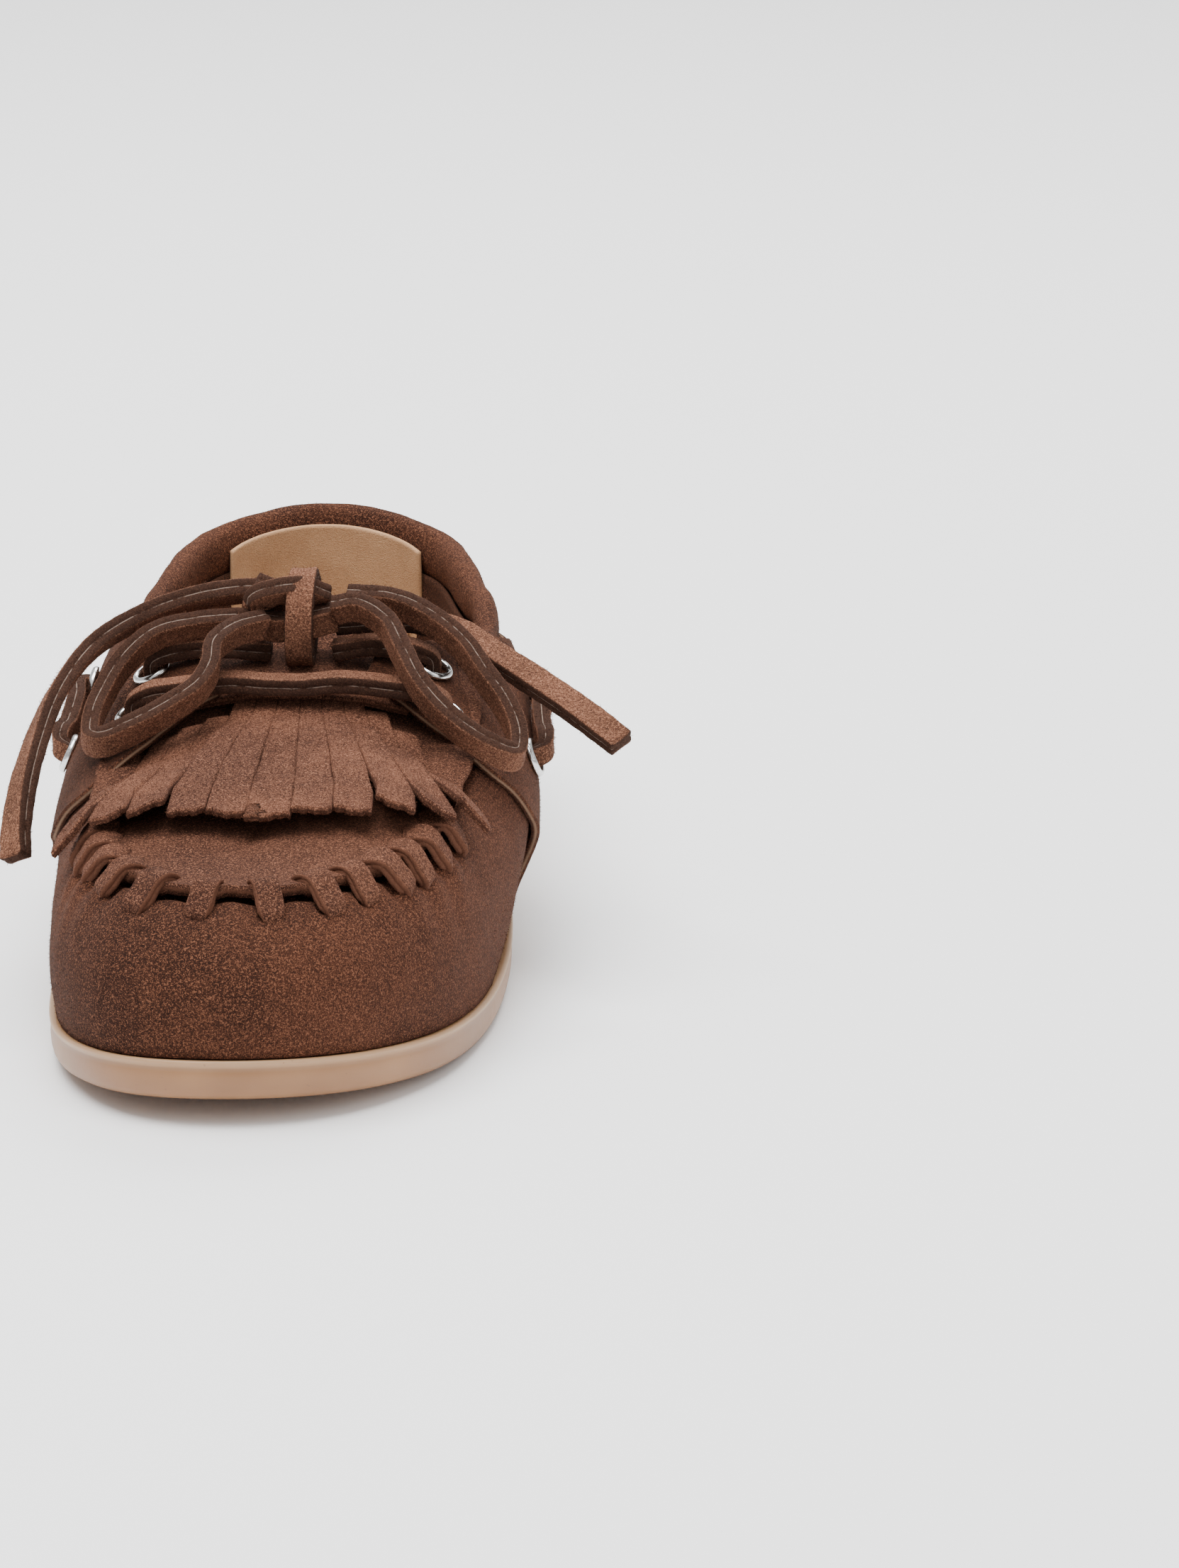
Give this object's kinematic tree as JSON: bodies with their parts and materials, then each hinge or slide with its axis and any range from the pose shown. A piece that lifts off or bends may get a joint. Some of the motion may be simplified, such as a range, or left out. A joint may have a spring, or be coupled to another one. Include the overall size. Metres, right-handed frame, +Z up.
{
  "type": "moccasin",
  "caption": "Low suede moccasin with a stitched apron toe, lifting fringe flap, eyelets, side lacing, tied bow, padded collar and flat gum sole.",
  "frame": {"origin": "on the floor under the middle of the shoe's bounding box", "axes": "toe points to -Y, heel to +Y, outer (lateral) side of the foot to +X, +Z up"},
  "size_m": [0.1252, 0.2536, 0.082],
  "materials": {
    "upper_suede": "brushed dark brown suede with an uneven nap",
    "fringe_suede": "lighter brown suede, raw cut edges",
    "lace_suede": "suede strap of two glued layers, nap outwards",
    "dark_lining": "dark brown soft lining leather",
    "tan_lining": "smooth tan lining leather",
    "stiffener_board": "pressed fibre board",
    "insole_foam": "soft open foam",
    "sole_gum": "tan gum rubber, slightly glossy",
    "eyelet_metal": "polished pressed steel"
  },
  "bodies": {
    "shoe": {"outsole": "sole_gum", "insole_board": "stiffener_board", "insole_foam": "insole_foam", "sock_lining": "tan_lining", "whipstitch_thong": "lace_suede", "vamp": "upper_suede", "toe_puff": "stiffener_board", "vamp_lining": "dark_lining", "apron_and_tongue": "upper_suede", "eyelet_lateral_front": "eyelet_metal", "eyelet_lateral_rear": "eyelet_metal", "eyelet_medial_front": "eyelet_metal", "eyelet_medial_rear": "eyelet_metal", "eyelet_lateral_side_front": "eyelet_metal", "eyelet_lateral_side_rear": "eyelet_metal", "eyelet_medial_side_front": "eyelet_metal", "eyelet_medial_side_rear": "eyelet_metal", "quarter_lateral": "upper_suede", "quarter_medial": "upper_suede", "backstay": "upper_suede", "heel_counter": "stiffener_board", "side_lining_lateral": "dark_lining", "side_lining_medial": "dark_lining", "heel_lining": "tan_lining", "heel_grip": "tan_lining", "collar_roll": "upper_suede", "kiltie_base": "fringe_suede", "lace_held": "lace_suede", "side_lace": "lace_suede", "bow_knot": "lace_suede", "bow_loop_medial": "lace_suede", "bow_loop_lateral": "lace_suede", "lace_end_medial": "lace_suede", "lace_end_lateral": "lace_suede"},
    "strip_01": {"kiltie_strip_01": "fringe_suede"},
    "strip_02": {"kiltie_strip_02": "fringe_suede"},
    "strip_03": {"kiltie_strip_03": "fringe_suede"},
    "strip_04": {"kiltie_strip_04": "fringe_suede"},
    "strip_05": {"kiltie_strip_05": "fringe_suede"},
    "strip_06": {"kiltie_strip_06": "fringe_suede"},
    "strip_07": {"kiltie_strip_07": "fringe_suede"},
    "strip_08": {"kiltie_strip_08": "fringe_suede"},
    "strip_09": {"kiltie_strip_09": "fringe_suede"},
    "strip_10": {"kiltie_strip_10": "fringe_suede"},
    "strip_11": {"kiltie_strip_11": "fringe_suede"}
  },
  "joints": [
    {"name": "strip_lift_01", "type": "hinge", "parent": "shoe", "child": "strip_01", "pos_m": [-0.02992, -0.04642, 0.04844], "axis": [-0.9338, 0.3577, 0], "range_deg": [0, 20]},
    {"name": "strip_lift_02", "type": "hinge", "parent": "shoe", "child": "strip_02", "pos_m": [-0.02396, -0.04439, 0.05094], "axis": [-0.9629, 0.2698, 0], "range_deg": [0, 26]},
    {"name": "strip_lift_03", "type": "hinge", "parent": "shoe", "child": "strip_03", "pos_m": [-0.01815, -0.04235, 0.05256], "axis": [-0.9805, 0.1967, 0], "range_deg": [0, 35]},
    {"name": "strip_lift_04", "type": "hinge", "parent": "shoe", "child": "strip_04", "pos_m": [-0.01148, -0.03131, 0.05544], "axis": [-0.9917, 0.1286, 0], "range_deg": [0, 35]},
    {"name": "strip_lift_05", "type": "hinge", "parent": "shoe", "child": "strip_05", "pos_m": [-0.00651, -0.02927, 0.05607], "axis": [-0.9975, 0.0712, 0], "range_deg": [0, 35]},
    {"name": "strip_lift_06", "type": "hinge", "parent": "shoe", "child": "strip_06", "pos_m": [-0.00171, -0.02925, 0.05589], "axis": [-0.9999, -0.0112, 0], "range_deg": [0, 35]},
    {"name": "strip_lift_07", "type": "hinge", "parent": "shoe", "child": "strip_07", "pos_m": [0.00334, -0.02927, 0.05607], "axis": [-0.998, -0.063, 0], "range_deg": [0, 35]},
    {"name": "strip_lift_08", "type": "hinge", "parent": "shoe", "child": "strip_08", "pos_m": [0.00807, -0.02929, 0.0559], "axis": [-0.992, -0.1262, 0], "range_deg": [0, 35]},
    {"name": "strip_lift_09", "type": "hinge", "parent": "shoe", "child": "strip_09", "pos_m": [0.01315, -0.03131, 0.05498], "axis": [-0.9801, -0.1983, 0], "range_deg": [0, 35]},
    {"name": "strip_lift_10", "type": "hinge", "parent": "shoe", "child": "strip_10", "pos_m": [0.01948, -0.03831, 0.05238], "axis": [-0.9538, -0.3003, 0], "range_deg": [0, 30]},
    {"name": "strip_lift_11", "type": "hinge", "parent": "shoe", "child": "strip_11", "pos_m": [0.02619, -0.0443, 0.04884], "axis": [-0.9005, -0.4349, 0], "range_deg": [0, 15]}
  ]
}
